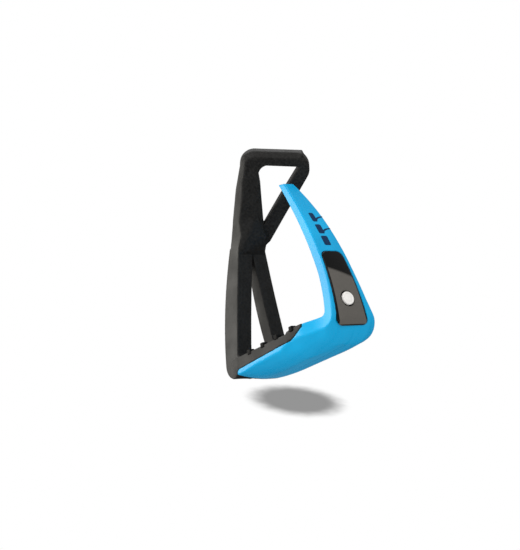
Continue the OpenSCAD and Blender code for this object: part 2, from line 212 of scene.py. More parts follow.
def polygon_distance(points, u, v):
    """Signed distance from each (u, v) to a closed outline."""
    best = np.full(u.shape, 1e9, np.float32)
    inside = np.zeros(u.shape, bool)
    count = len(points)
    for i in range(count):
        (ax, ay), (bx, by) = points[i], points[(i + 1) % count]
        ex, ey = bx - ax, by - ay
        length = ex * ex + ey * ey
        if length < 1e-12:
            continue
        t = np.clip(((u - ax) * ex + (v - ay) * ey) / length, 0, 1)
        best = np.minimum(best, (u - ax - t * ex) ** 2 + (v - ay - t * ey) ** 2)
        crosses = (ay > v) != (by > v)
        if ey != 0:
            inside ^= crosses & (u < ax + (v - ay) * ex / ey)
    return np.where(inside, -1.0, 1.0).astype(np.float32) * np.sqrt(best)


def arc(cx, cy, r, start, end, count=8):
    angles = np.radians(np.linspace(start, end, count + 1))
    return [(cx + r * math.cos(a), cy + r * math.sin(a)) for a in angles]


class Grid:
    """A box of sample points, with x, y and z ready to broadcast."""

    def __init__(self, low, high, size):
        self.low, self.size = np.array(low, float), size
        count = [int(math.ceil((h - l) / size)) + 1 for l, h in zip(low, high)]
        axes = [(l + size * np.arange(n)).astype(np.float32) for l, n in zip(low, count)]
        self.x, self.y, self.z = axes[0][:, None, None], axes[1][None, :, None], axes[2][None, None, :]
        self.shape = tuple(count)

    def layers_from(self, first):
        """The same samples without the layers below the first."""
        part = copy.copy(self)
        part.low = self.low + (0, 0, first * self.size)
        part.z = self.z[:, :, first:]
        part.shape = (*self.shape[:2], self.shape[2] - first)
        return part

    def front(self, points):
        """Distance to an outline drawn in X and Z, through the whole depth."""
        u, v = np.broadcast_arrays(self.x[:, 0, :], self.z[0, 0, :][None, :])
        return polygon_distance(points, u, v)[:, None, :]

    def side(self, points):
        """Distance to an outline drawn in Y and Z, along the whole of X."""
        u, v = np.broadcast_arrays(self.y[0, :, 0][:, None], self.z[0, 0, :][None, :])
        return polygon_distance(points, u, v)[None, :, :]


def sample(field, grid, points):
    """Field value at each point, between the samples around it."""
    p = (points - grid.low) / grid.size
    p = np.clip(p, 0, np.array(grid.shape) - 1.001)
    i = p.astype(int)
    f = p - i
    total = 0
    for dx in (0, 1):
        for dy in (0, 1):
            for dz in (0, 1):
                weight = (np.where(dx, f[:, 0], 1 - f[:, 0]) * np.where(dy, f[:, 1], 1 - f[:, 1])
                          * np.where(dz, f[:, 2], 1 - f[:, 2]))
                total = total + weight * field[i[:, 0] + dx, i[:, 1] + dy, i[:, 2] + dz]
    return total


def gradient(field, grid, points):
    halves = np.eye(3) * grid.size * 0.5
    change = [sample(field, grid, points + h) - sample(field, grid, points - h) for h in halves]
    return np.stack(change, 1) / grid.size


def surface(name, field, grid, passes=3):
    """Mesh of the field's zero surface: a vertex in each cell and a face at each edge that it crosses.

    It is closed, except where the shape runs out through the side of the grid.
    """
    field = np.ascontiguousarray(np.broadcast_to(field, grid.shape)).astype(np.float32)
    inside = field < 0
    nx, ny, nz = field.shape
    corners = np.zeros((nx - 1, ny - 1, nz - 1), np.int8)
    for dx in (0, 1):
        for dy in (0, 1):
            for dz in (0, 1):
                corners += inside[dx:nx - 1 + dx, dy:ny - 1 + dy, dz:nz - 1 + dz]
    mixed = (corners > 0) & (corners < 8)
    cells = np.argwhere(mixed)
    index = np.full(mixed.shape, -1, np.int64)
    index[mixed] = np.arange(len(cells))
    total = np.zeros((len(cells), 3))
    hits = np.zeros(len(cells))
    unit = np.eye(3, dtype=int)
    for axis in range(3):
        others = [k for k in range(3) if k != axis]
        for a in (0, 1):
            for b in (0, 1):
                start = a * unit[others[0]] + b * unit[others[1]]
                p0, p1 = cells + start, cells + start + unit[axis]
                f0, f1 = field[tuple(p0.T)], field[tuple(p1.T)]
                crossed = (f0 < 0) != (f1 < 0)
                t = np.where(crossed, f0 / np.where(crossed, f0 - f1, 1), 0)
                total += (p0 + t[:, None] * unit[axis]) * crossed[:, None]
                hits += crossed
    points = grid.low + grid.size * total / hits[:, None]
    for _ in range(passes):
        value = sample(field, grid, points)
        slope = gradient(field, grid, points)
        move = slope * (value / np.maximum((slope ** 2).sum(1), 0.05))[:, None]
        length = np.linalg.norm(move, axis=1, keepdims=True)
        points -= move * np.minimum(1, 0.5 * grid.size / np.maximum(length, 1e-9))
    faces = []
    for axis in range(3):
        j, k = (axis + 1) % 3, (axis + 2) % 3
        ahead = [slice(None)] * 3
        behind = [slice(None)] * 3
        ahead[axis], behind[axis] = slice(1, None), slice(None, -1)
        change = inside[tuple(behind)] != inside[tuple(ahead)]
        edges = np.argwhere(change)
        edges = edges[(edges[:, j] > 0) & (edges[:, k] > 0)]
        edges = edges[(edges[:, j] < field.shape[j] - 1) & (edges[:, k] < field.shape[k] - 1)]
        ring = [edges, edges - unit[j], edges - unit[j] - unit[k], edges - unit[k]]
        quad = np.stack([index[tuple(c.T)] for c in ring], 1)
        start_inside = inside[tuple(edges.T)]
        faces.append(np.where(start_inside[:, None], quad, quad[:, ::-1]))
    return make_mesh(name, points / MM, np.concatenate(faces))


def make_mesh(name, points, faces, smooth_faces=True):
    mesh = bpy.data.meshes.new(name)
    faces = [tuple(int(i) for i in f) for f in faces]
    mesh.from_pydata([tuple(p) for p in points], [], faces)
    mesh.validate()
    mesh.polygons.foreach_set("use_smooth", [smooth_faces] * len(mesh.polygons))
    mesh.update()
    piece = bpy.data.objects.new(name, mesh)
    bpy.context.scene.collection.objects.link(piece)
    return piece


# ---- Inner branch ----

eye_angle = math.radians(45)
eye_lean = math.radians(126)
eye_centre = np.array([14, 0, 160 + lift])
# axes of the eye's own plane: u along the top bar, v up the plane, n out of its face
eye_u = np.array([math.cos(eye_angle), math.sin(eye_angle), 0])
eye_n = np.array([math.sin(eye_lean) * math.sin(eye_angle), -math.sin(eye_lean) * math.cos(eye_angle),
                  math.cos(eye_lean)])
eye_v = np.cross(eye_n, eye_u)
eye_half = 6.0
# outlines of the eye and of its opening, in u and v
eye_outline = (arc(-15.6, -2.5, 11.4, 172, 80) + [(22.4, -1.8)] + arc(12.5, -12.2, 12.8, 34, -46, 12)
               + [(-19.5, -66), (-24, -68.5), (-50, -68.5), (-43.5, -42), (-35.5, -20)])
eye_hole = (arc(-6.6, -12.4, 8.2, 172, 92)
            + [(17.2, -11.4), (-4.5, -33.5), (-21.2, -51.4), (-17.8, -32), (-15.4, -19)])
eye_reach = 31.0                 # the eye ends before this X
eye_floor = 92.0                 # and starts above this height


def eye_field(grid):
    """Leather eye: a flat loop with a chamfered top bar."""
    du, dv, dn = [grid.x * a[0] + grid.y * a[1] + grid.z * a[2] - a @ eye_centre
                  for a in (eye_u, eye_v, eye_n)]
    outline = polygon_distance(eye_outline, du, dv)
    hole = polygon_distance(eye_hole, du, dv)
    flat = round_max(outline, -hole, 1.5)
    # the front of the slanted bar lies back a little where it meets the post
    behind = 2.0 * smooth(du - 0.167 * (dv + 48.5) + 20.5, -0.4, 0.6) * smooth(-dv, 24, 46)
    field = round_max(flat, np.maximum(dn - eye_half + behind, -dn - eye_half), 1.1)
    # wide chamfer along the outer edge of the top bar
    width = 3.8 * smooth(dv, -17, -9) * smooth(-du, -25, -19) + 0.1
    return round_max(field, (outline + dn - eye_half + width) / math.sqrt(2), 0.8)


def front_face(grid):
    """The flat front of the legs, carried on up the post to the shoulder of the eye."""
    rise = grid.z - legs_top
    shoulder = 11.2 + 0.06 * rise + 0.0026 * rise ** 2
    return (-grid.y - np.maximum(leaning_half(grid.z), shoulder)) * 0.99


def neck_field(grid):
    """Convex blend from the top of the legs to the foot of the eye."""
    points = []
    for z in (fork_height - 1, legs_top - 0.7):
        for x in (branch_out(z) + 0.25, branch_in(z) - 0.25):
            points += [(x, y, z) for y in (0.2 - post_half, post_half - 0.2)]
    for u, v in ((-22.2, -65.7), (-49.5, -65.7), (-43.3, -42.4), (-24.5, -42.4), (-20.4, -60)):
        for n in (-eye_half + 0.2, eye_half - 0.2):
            points.append(tuple(eye_centre + u * eye_u + v * eye_v + n * eye_n))
    hull = bmesh.new()
    for p in points:
        hull.verts.new(p)
    bmesh.ops.convex_hull(hull, input=hull.verts)
    planes = {}
    for face in hull.faces:
        face.normal_update()
        n = face.normal
        offset = n.dot(face.verts[0].co)
        planes[tuple(round(c, 3) for c in (*n, offset))] = (n.copy(), offset)
    hull.free()
    centre = sum((Vector(p) for p in points), Vector()) / len(points)
    field = None
    for n, offset in planes.values():
        if n.dot(centre) > offset:
            n, offset = -n, -offset
        side = grid.x * n.x + grid.y * n.y + grid.z * n.z - offset
        field = side if field is None else round_max(field, side, 0.8)
    return field


def legs_field(grid):
    """The two legs and the post above them, without the eye."""
    heights = np.linspace(3.8, legs_top, 31)
    upper = [z for z in heights if z > 16.8]
    foot_r = 13.0
    foot = arc(foot_out + foot_r, sole + foot_r, foot_r, 270, 180, 12)
    front = grid.front(foot + [(branch_out(z), z) for z in upper] + [(branch_in(z), z) for z in upper[::-1]]
                       + [(foot_in, sole)])
    side = grid.side([(leg_out(z), z) for z in heights] + [(-leg_out(z), z) for z in heights[::-1]])
    rear = window_spread * (fork_height - tread_top)
    window = grid.side([(2 * window_y - rear, tread_top), (rear, tread_top), (window_y, fork_height)])
    # the window flares towards the branch's outer face
    flare_depth = 6.5 - (grid.x - branch_out(grid.z))
    window = window - 0.8 * np.maximum(flare_depth, 0) * smooth(fork_height - grid.z, 0, 16)
    window = np.maximum(window, tread_top - grid.z)
    body = round_max(front, side, 0.8)
    # the rear foot stands a little higher
    body = round_max(body, sole + 0.05 * np.maximum(grid.y + 18, 0) - grid.z, 0.8)
    return round_max(body, -window, 0.7)


def tread_cut(grid):
    """Room in the foot for the knuckle, the tail of the tread and the pin."""
    heel_x = foot_out + 3.3
    cheek = np.abs(grid.y) - knuckle_half - 0.3
    pocket = np.maximum(np.maximum(cheek, heel_x - grid.x), grid.z - tread_top - 1)
    tail = np.maximum(np.maximum(tail_x - 0.35 - grid.x, grid.z - ledge_z), grid.x - foot_in - 5)
    around = np.sqrt((grid.x - pin_x) ** 2 + (grid.z - pin_z) ** 2)
    bore = np.maximum(around - pin_bore, pin_low[1] - grid.y)
    return np.minimum(np.minimum(pocket, tail), bore)


def build_inner_branch():
    """Legs, post and eye as one skin."""
    room = 1.5
    grid = Grid((foot_out - room, -half_depth - room, 2),
                (eye_reach, half_depth + room, inner_high[2] + room), step)
    field = np.broadcast_to(legs_field(grid), grid.shape).astype(np.float32)
    first = grid.shape[2] - int((inner_high[2] - eye_floor) / step)
    top = grid.layers_from(first)
    eye = round_min(eye_field(top), neck_field(top), 0.8)
    eye = round_max(eye, front_face(top), 0.9)
    field[:, :, first:] = np.minimum(field[:, :, first:], eye)
    field = round_max(field, -tread_cut(grid), 0.4)
    return surface("branch_inner_skin", field, grid)


# ---- Tread and outer branch ----

# (x, height) along the edge between the front wall and the underside
crease_points = ((-47, 5.8), (-20, 7.9), (6, 8.8), (21, 13.6), (31, 12.9), (50, 13.7), (60, 14.5))


def crease(x):
    """Height of that edge at x, eased from one of the points to the next."""
    height = np.full(np.shape(x), crease_points[0][1], np.float32)
    for (x0, z0), (x1, z1) in zip(crease_points, crease_points[1:]):
        height = np.where(x > x0, lerp(z0, z1, smooth(x, x0, x1)), height)
    return height


def depth_limit(grid):
    """Distance past the front and rear walls, which run from the tread's outline into the branch's taper."""
    turn = smooth(0.9 * grid.x + 0.436 * grid.z, 34, 62)
    half = lerp(tread_half(grid.x), sleeve_half(grid.z), turn) - wall_inset
    rear = np.minimum(half + lerp(tread_swell(grid.x), rear_swell(grid.z), turn), half_depth - wall_inset)
    return np.abs(grid.y) - np.where(grid.y > 0, rear, half)


bend_z = float(underside(bend_x)) + bend_r


def belly_field(grid):
    """Everything above the underside and inside the outer bend, with the long bevels along both edges."""
    start_x, far_up = tail_x - 6, 2 * tip_end
    outline = ([(x, float(underside(x))) for x in np.linspace(start_x, bend_x, 30)]
               + arc(bend_x, bend_z, bend_r, -90, 0, 24) + [(outer_reach, far_up), (start_x, far_up)])
    profile = grid.front(outline)
    arc_x = np.clip(grid.x - bend_x, 0, bend_r - 0.8)
    arc_low = bend_z - np.sqrt(bend_r ** 2 - arc_x ** 2)
    low = np.where(grid.x < bend_x, underside(np.minimum(grid.x, bend_x)), arc_low)
    wall = lerp(tread_half(grid.x), 20.2, smooth(grid.x, 38, 58)) - wall_inset
    # the bevels start this far from the middle
    front_keel = lerp(17.5, 12, smooth(grid.x, 8, 46))
    back_keel = 17.5 + tread_swell(grid.x)
    front_slope = np.maximum(crease(grid.x) - low, 1.0) / (wall - front_keel)
    back_slope = 0.8
    front = (low + front_slope * (-grid.y - front_keel) - grid.z) / np.sqrt(1 + front_slope ** 2)
    back = (low + back_slope * (grid.y - back_keel) - grid.z) / math.sqrt(1 + back_slope ** 2)
    return round_max(round_max(profile, front, 7.0), back, 5.0)


def leaf_field(grid):
    """Negative where the tread is shell, positive where it is the black core."""
    run = 0.5
    slope = (seam(grid.x + run) - seam(grid.x - run)) / (2 * run)
    above = np.minimum((grid.z - seam(grid.x)) / np.sqrt(1 + slope ** 2), tread_top + 4 - grid.z)
    return round_max(above, tail_x + 2.3 - grid.x, 3.6)


def cover_outline(z_low, z_high, grow):
    """Outline of the cover in side view, grown by some millimetres."""
    low, high, rear = 13.4 + grow, 9.2 + grow, 1.6
    low_r, high_r = 5.4 + grow, 5.0 + grow
    z0, z1 = z_low - grow + low_r, z_high + grow - high_r
    return (arc(low + rear - low_r, z0, low_r, -90, 0) + arc(high + rear - high_r, z1, high_r, 0, 90)
            + arc(-high + high_r, z1, high_r, 90, 180) + arc(-low + low_r, z0, low_r, 180, 270))


def crown(y):
    """How far the outer face falls back towards its edges."""
    return crown_rate * y * y


def branch_band():
    """Outline of the outer branch in front view, a little wider on its outer side."""
    heights = np.linspace(14, tip_height, 40)
    spare = 3
    return ([(float(sleeve_out(z)) + spare, z) for z in heights]
            + [(float(sleeve_out(tip_end)) + spare, tip_end - 2), (float(sleeve_in(tip_end)), tip_end)]
            + [(float(sleeve_in(z)), z) for z in heights[::-1]])


def build_shell():
    """Shell and sleeve as one skin, open where the core, the knuckle and the cover lie in it."""
    grid = Grid((tail_x - 1.5, -half_depth - 1, ground - 1.5),
                (outer_reach + 1.5, half_depth + 1, tip_end + 1.5), step)
    tread = np.maximum(np.maximum(grid.z - rim(grid.x), tail_x + 0.9 - grid.x), grid.x - outer_reach)
    inner_profile = round_min(tread, grid.front(branch_band()), 3.6)
    outer_face = (grid.x - sleeve_out(grid.z) + crown(grid.y)) * 0.97
    upright_face = grid.x - outer_reach + crown(grid.y)
    outer_face = np.where(grid.z < 20, np.minimum(outer_face, upright_face), outer_face)
    profile = round_max(inner_profile, outer_face, 0.5)
    walls = round_max(profile, depth_limit(grid), 1.0)
    body = round_max(walls, belly_field(grid), 0.9)
    body = round_max(body, leaf_field(grid), 0.45)
    knuckle_room = np.maximum(np.abs(grid.y) - knuckle_half - 0.05, grid.x - tail_x - 1.05)
    body = np.maximum(body, -np.maximum(knuckle_room, grid.z - tread_top))
    pocket = np.maximum(grid.side(cover_outline(cover_low[2] + 0.1, cover_high[2] - 0.1, 0.4)),
                        sleeve_out(grid.z) - 2.5 - grid.x)
    pocket = np.maximum(pocket, 40 - grid.x)
    body = round_max(body, -pocket, 0.3)
    return surface("shell_skin", body, grid)


def core_body(grid):
    """The black part of the tread, above the seam."""
    wall = np.abs(grid.y) - (tread_half(grid.x) - wall_inset)
    slab = round_max(grid.z - rim(grid.x), wall, 0.9)
    slab = round_max(slab, belly_field(grid), 0.9)
    slab = round_max(slab, -leaf_field(grid), 0.25)
    return np.maximum(slab, grid.x - seam_end_x - 2)


def plate_outline(grid, grow):
    """Distance to the grip plate's outline, seen from above and grown by some millimetres."""
    sides = np.abs(grid.y) - (tread_half(grid.x) - 2.2 + grow)
    ends = np.maximum(plate_low[0] - grow - grid.x, grid.x - plate_high[0] - grow)
    return round_max(sides, ends, 2.0)


def build_core():
    """Walls and deck of the tread, faired into the feet of the two legs."""
    grid = Grid((tail_x - 3.2, -half_depth - 1, ground - 1),
                (seam_end_x + 3, half_depth + 1, tread_top + 9), 0.5)
    body = core_body(grid)
    seat = np.maximum(plate_outline(grid, 0.12), plate_low[2] - grid.z)
    body = round_max(body, -seat, 0.25)
    tail_room = np.maximum(np.maximum(tail_x - grid.x, grid.z - ledge_z), grid.x - foot_in - 5)
    legs = round_max(legs_field(grid), -tail_room, 0.3)
    body = round_min(body, legs - 0.06, 3.2)
    limit = np.where(grid.z < tread_top, half_depth - wall_inset, leg_out(grid.z)) + 0.06
    body = round_max(body, np.abs(grid.y) - limit, 0.9)
    body = np.maximum(body, tail_x - 1.4 - grid.x)
    between = np.maximum(np.abs(grid.y) - knuckle_half, grid.x - tail_x - 0.2)
    body = np.maximum(body, -between)
    # away from the legs nothing rises over the rim
    uncut = -50.0
    trim = np.where(grid.x < foot_in + 4.5, uncut, grid.z - rim(grid.x))
    return surface("tread_core_skin", np.maximum(body, trim), grid)


def build_knuckle():
    """The part of the tread that reaches between the two feet and round the pin."""
    knuckle_r, room = 4.5, 1.5
    grid = Grid((pin_x - 6.5, -knuckle_half - room, 1.5),
                (foot_in + 3.5, knuckle_half + room, tread_top + 1), 0.45)
    around = np.sqrt((grid.x - pin_x) ** 2 + (grid.z - pin_z) ** 2) - knuckle_r
    upper = np.maximum(np.maximum(pin_x - knuckle_r - grid.x, pin_z - grid.z), grid.z - tread_top + 0.12)
    lower = np.maximum(np.maximum(pin_x - 2.5 - grid.x, 5.3 - grid.z), grid.z - pin_z)
    body = np.minimum(np.minimum(around, upper), lower)
    body = round_max(body, np.abs(grid.y) - knuckle_half + 0.05, 0.5)
    body = np.maximum(body, grid.x - foot_in - 2)
    return surface("tread_knuckle_skin", body, grid)


# ---- Grip plate, studs and cleats ----

def build_plate():
    """Grip plate with a countersunk seat for each of its four screws."""
    grid = Grid((plate_low[0] - 1, -half_depth, plate_low[2] - 1),
                (plate_high[0] + 1, half_depth, tread_top + 1), 0.45)
    body = np.maximum(plate_outline(grid, 0), plate_low[2] - grid.z)
    body = round_max(body, grid.z - tread_top + 0.1, 0.4)
    for x in (plate_low[0] + 5, plate_high[0] - 5):
        for y in (-8.5, 8.5):
            around = np.sqrt((grid.x - x) ** 2 + (grid.y - y) ** 2)
            sink = (around - 1.7 - np.maximum(grid.z - tread_top + 1.6, 0)) * 0.7
            body = round_max(body, -sink, 0.2)
    return surface("grip_plate_skin", body, grid)


def stud_x(i, count):
    """X of the i-th stud in a row of count."""
    return stud_middle + (i - (count - 1) / 2) * stud_pitch


def circle(r, count):
    """Points of a circle round the origin."""
    angles = [2 * math.pi * i / count for i in range(count)]
    return [(r * math.cos(a), r * math.sin(a)) for a in angles]


def lathe(profile, count=40):
    """Points and faces of a turned shape; the profile is (radius, height) and starts and ends on the axis."""
    points, faces = [(0, 0, profile[0][1])], []
    rings = profile[1:-1]
    for r, h in rings:
        points += [(x, y, h) for x, y in circle(r, count)]
    points.append((0, 0, profile[-1][1]))
    last = len(points) - 1
    for i in range(count):
        k = (i + 1) % count
        faces.append((0, 1 + k, 1 + i))
        for ring in range(len(rings) - 1):
            a, b = 1 + ring * count, 1 + (ring + 1) * count
            faces.append((a + i, a + k, b + k, b + i))
        top = 1 + (len(rings) - 1) * count
        faces.append((last, top + i, top + k))
    return np.array(points, float), faces


def join(parts):
    """Joins (points, faces) pairs into one."""
    points, faces, start = [], [], 0
    for p, f in parts:
        points.append(np.asarray(p, float))
        faces += [tuple(i + start for i in face) for face in f]
        start += len(p)
    return np.concatenate(points), faces


def rounded_profile(r, low, high, edge, draft=0.0):
    """Side of a turned stud: straight or tapered flank, rounded top edge and faintly raised middle."""
    flat_r = r - draft - edge
    corner = arc(flat_r, high - edge, edge, 0, 90, 5)
    return [(0, low), (r, low), (r, low + 0.1)] + corner + [(flat_r * 0.5, high + 0.02), (0, high + 0.02)]


def rounded_block(low, high, edge):
    """Points and faces of a block with rounded edges, a little narrower at the top."""
    block = bmesh.new()
    bmesh.ops.create_cube(block, size=1)
    low, high = Vector(low), Vector(high)
    middle = (low + high) / 2
    for v in block.verts:
        v.co = Vector(lerp(low[k], high[k], v.co[k] + 0.5) for k in range(3))
        if v.co.z > middle.z:
            v.co.x = lerp(middle.x, v.co.x, 0.9)
    bmesh.ops.bevel(block, geom=block.edges[:], offset=edge, segments=3, profile=0.5, affect="EDGES")
    block.verts.ensure_lookup_table()
    points = [tuple(v.co) for v in block.verts]
    faces = [tuple(v.index for v in f.verts) for f in block.faces]
    block.free()
    return points, faces


def build_studs():
    """Three rows of round studs on the plate and a row of cleats along each edge of the tread."""
    parts = []
    points, faces = lathe(rounded_profile(2.3, tread_top - 1.0, tread_top + 2.38, 0.55, 0.45), 28)
    for row, count in ((-1, 3), (0, 4), (1, 3)):
        for i in range(count):
            x = stud_x(i, count)
            parts.append((points + (x, row * 0.41 * float(tread_half(x)), 0), faces))
    cleat_half, cleat_depth, cleat_height, sunk = 2.2, 4.6, 3.9, 2.4
    for side in (-1, 1):
        for i in range(4):
            x = stud_x(i, 4)
            edge = float(tread_half(x))
            y0, y1 = sorted((side * (edge - cleat_depth), side * edge))
            foot = float(rim(x)) - sunk
            low, high = (x - cleat_half, y0, foot), (x + cleat_half, y1, foot + cleat_height)
            parts.append(rounded_block(low, high, 0.55))
    points, faces = join(parts)
    return make_mesh("grip_studs_skin", points / MM, faces)


# ---- Cover, cap and grip marks ----

fasten_z = 29.9 + lift
fasten = np.array([float(sleeve_out(fasten_z)), 0, fasten_z])
fasten_tilt = math.radians(85)
fasten_axis = np.array([math.sin(fasten_tilt), 0, math.cos(fasten_tilt)])
cap_r = 5.0
cap_sunk = 0.16
cap_seat_r, cap_seat_depth = 6.2, 1.1


def build_cover():
    """Cover let into the sleeve, a little more crowned than it, with a seat for the cap."""
    grid = Grid((50, -14.5, cover_low[2] - 1), (cover_high[0] + 1, 16.5, cover_high[2] + 1), 0.4)
    outline = grid.side(cover_outline(cover_low[2], cover_high[2], 0))
    face = (grid.x - sleeve_out(grid.z) - cover_proud + crown(grid.y) + 0.003 * grid.y ** 2) * 0.98
    # its lower end follows the outer bend
    bend = np.sqrt((grid.x - bend_x) ** 2 + np.minimum(grid.z - bend_z, 0) ** 2) - bend_r - cover_proud
    face = np.maximum(face, bend)
    back = (sleeve_out(grid.z) - 2.3 - grid.x) * 0.98
    body = round_max(np.maximum(outline, back), face, 0.7)
    dx, dz = grid.x - fasten[0], grid.z - fasten[2]
    along = dx * fasten_axis[0] + dz * fasten_axis[2]
    across = np.sqrt(np.maximum(dx ** 2 + dz ** 2 + grid.y ** 2 - along ** 2, 0))
    seat = np.maximum(across - cap_seat_r, -cap_seat_depth - along)
    return surface("cover_skin", round_max(body, -seat, 0.35), grid)


def build_cap():
    """Round cap with a domed rim, a shallow groove and a flat middle."""
    rim_angles = np.radians(np.linspace(0, 70, 6))
    dome = [(cap_r - 0.9 + 0.9 * math.cos(a), 0.9 + 0.75 * math.sin(a)) for a in rim_angles]
    groove = [(3.7, 1.64), (3.5, 1.50), (3.2, 1.50), (3.0, 1.66)]
    profile = [(0, -1.3), (cap_r, -1.3), (cap_r, 0.3)] + dome + groove + [(1.6, 1.70), (0, 1.71)]
    points, faces = lathe(profile, 48)
    x_axis = np.array([-fasten_axis[2], 0, fasten_axis[0]])
    y_axis = np.cross(fasten_axis, x_axis)
    height = points[:, 2:] - cap_sunk
    placed = fasten + points[:, :1] * x_axis + points[:, 1:2] * y_axis + height * fasten_axis
    return make_mesh("cap_skin", placed / MM, faces)


def on_face(y, z, height):
    """Point of the outer face at (y, z), raised by height."""
    return float(sleeve_out(z)) - float(crown(y)) + height, y, z


def pillow(rings):
    """Closed thin solid from a stack of outlines, each a list of points, the first and last ones filled."""
    count = len(rings[0])
    points = [p for ring in rings for p in ring]
    faces = []
    for k in range(len(rings) - 1):
        for i in range(count):
            j = (i + 1) % count
            faces.append((k * count + i, k * count + j, (k + 1) * count + j, (k + 1) * count + i))
    faces.append(tuple(range(count))[::-1])
    faces.append(tuple((len(rings) - 1) * count + i for i in range(count)))
    return points, faces


def mark_bar(z, half):
    """Rounded bar across the branch: stacked outlines, drawn in towards its top."""
    corner_r, tall_half, shift = 1.25, 4.2, 1.15
    y, h = half - corner_r, tall_half - corner_r
    rings = []
    for inset, height in ((0, -0.6), (0, 0.02), (0.2, 0.09), (0.8, 0.1), (1.1, 0.1)):
        r = corner_r - inset
        outline = (arc(shift + y, z - h, r, -90, 0, 5) + arc(shift + y, z + h, r, 0, 90, 5)
                   + arc(shift - y, z + h, r, 90, 180, 5) + arc(shift - y, z - h, r, 180, 270, 5))
        rings.append([on_face(py, pz, height) for py, pz in outline])
    return pillow(rings)


def mark_tail(z, half, reach):
    """Thin curved stroke from the foot of a bar back to the rear edge of the branch."""
    start, turn, end = [np.array(p) for p in ((half + 0.2, z - 3.4), (half + 1.0, z - 0.2), (reach, z + 0.6))]
    t = np.linspace(0, 1, 9)[:, None]
    line = (1 - t) ** 2 * start + 2 * t * (1 - t) * turn + t ** 2 * end
    along = np.gradient(line, axis=0)
    across = np.stack([-along[:, 1], along[:, 0]], 1) / np.linalg.norm(along, axis=1)[:, None]
    width = np.linspace(0.85, 0.5, len(line))[:, None]
    left, right = line + across * width, line - across * width
    outline = np.concatenate([left[::-1], right])
    return pillow([[on_face(y, z_, height) for y, z_ in outline] for height in (-0.6, 0.07)])


def build_marks():
    """The three grip marks; the upper two end in a thin stroke."""
    made = []
    for name, tail in (("upper", True), ("middle", True), ("lower", False)):
        low, high = box_mm("grip_mark_" + name)
        z = (low[2] + high[2]) / 2
        half = (high[1] - low[1]) / 2
        parts = [mark_bar(z, half)]
        if tail:
            rear_edge = float(sleeve_half(z) + rear_swell(z)) - wall_inset
            parts.append(mark_tail(z, half, rear_edge - 0.6))
        points, faces = join(parts)
        made.append(make_mesh("mark_" + name + "_skin", points / MM, faces, False))
        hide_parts("grip_mark_" + name)
    return made


inner_skin = build_inner_branch()
shell_skin = build_shell()
core_skin = build_core()
knuckle_skin = build_knuckle()
plate_skin = build_plate()
studs_skin = build_studs()
cover_skin = build_cover()
cap_skin = build_cap()
mark_skins = build_marks()


# ---- Bodies ----

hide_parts("inner_branch")
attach(inner_skin, "inner_branch")
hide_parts("tread_core")
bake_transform(core_skin)
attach(knuckle_skin, "tread")
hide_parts("grip_plate")
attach(plate_skin, "tread")
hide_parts("grip_studs")
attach(studs_skin, "tread")
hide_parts("tread_shell", "branch_sleeve")
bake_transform(shell_skin)
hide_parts("branch_cover")
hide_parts("cover_cap")
for piece in (cover_skin, cap_skin, *mark_skins):
    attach(piece, "outer_branch")


# ---- Materials ----

class Look:
    """A procedural material around one Principled shader."""

    def __init__(self, name, **constants):
        self.material = bpy.data.materials.new(name)
        self.material.use_nodes = True
        self.tree = self.material.node_tree
        self.shader = self.tree.nodes["Principled BSDF"]
        self.place = self.tree.nodes.new("ShaderNodeTexCoord").outputs["Object"]
        for socket, value in constants.items():
            self.shader.inputs[socket.replace("_", " ")].default_value = value

    def node(self, kind, inputs=(), **settings):
        """New node; each of its inputs is a value or another node's output."""
        made = self.tree.nodes.new("ShaderNode" + kind)
        for key, value in settings.items():
            setattr(made, key, value)
        for key, value in dict(inputs).items():
            if isinstance(value, bpy.types.NodeSocket):
                self.tree.links.new(value, made.inputs[key])
            else:
                made.inputs[key].default_value = value
        return made

    def noise(self, scale, detail=3.0, stretch=None):
        place = self.place
        if stretch:
            place = self.node("Mapping", {"Vector": self.place, "Scale": stretch}).outputs[0]
        return self.node("TexNoise", {"Vector": place, "Scale": scale, "Detail": detail}).outputs["Fac"]

    def spread(self, source, a, b, low, high):
        """Maps source from a..b to low..high."""
        values = {"Value": source, "From Min": a, "From Max": b, "To Min": low, "To Max": high}
        return self.node("MapRange", values).outputs[0]

    def tint(self, source, first, second):
        """Colour that goes from first to second; either may be a colour or another node's output."""
        values = {"Factor": source}
        for key, side in ((6, first), (7, second)):
            values[key] = side if isinstance(side, bpy.types.NodeSocket) else (*side, 1)
        return self.node("Mix", values, data_type="RGBA").outputs[2]

    def math(self, operation, a, b=0.0):
        """Result of one operation on a and b."""
        return self.node("Math", {0: a, 1: b}, operation=operation).outputs[0]

    def colour(self, source):
        self.tree.links.new(source, self.shader.inputs["Base Color"])

    def rough(self, source):
        self.tree.links.new(source, self.shader.inputs["Roughness"])

    def bump(self, height, strength, distance):
        made = self.node("Bump", {"Height": height, "Strength": strength, "Distance": distance})
        self.tree.links.new(made.outputs[0], self.shader.inputs["Normal"])


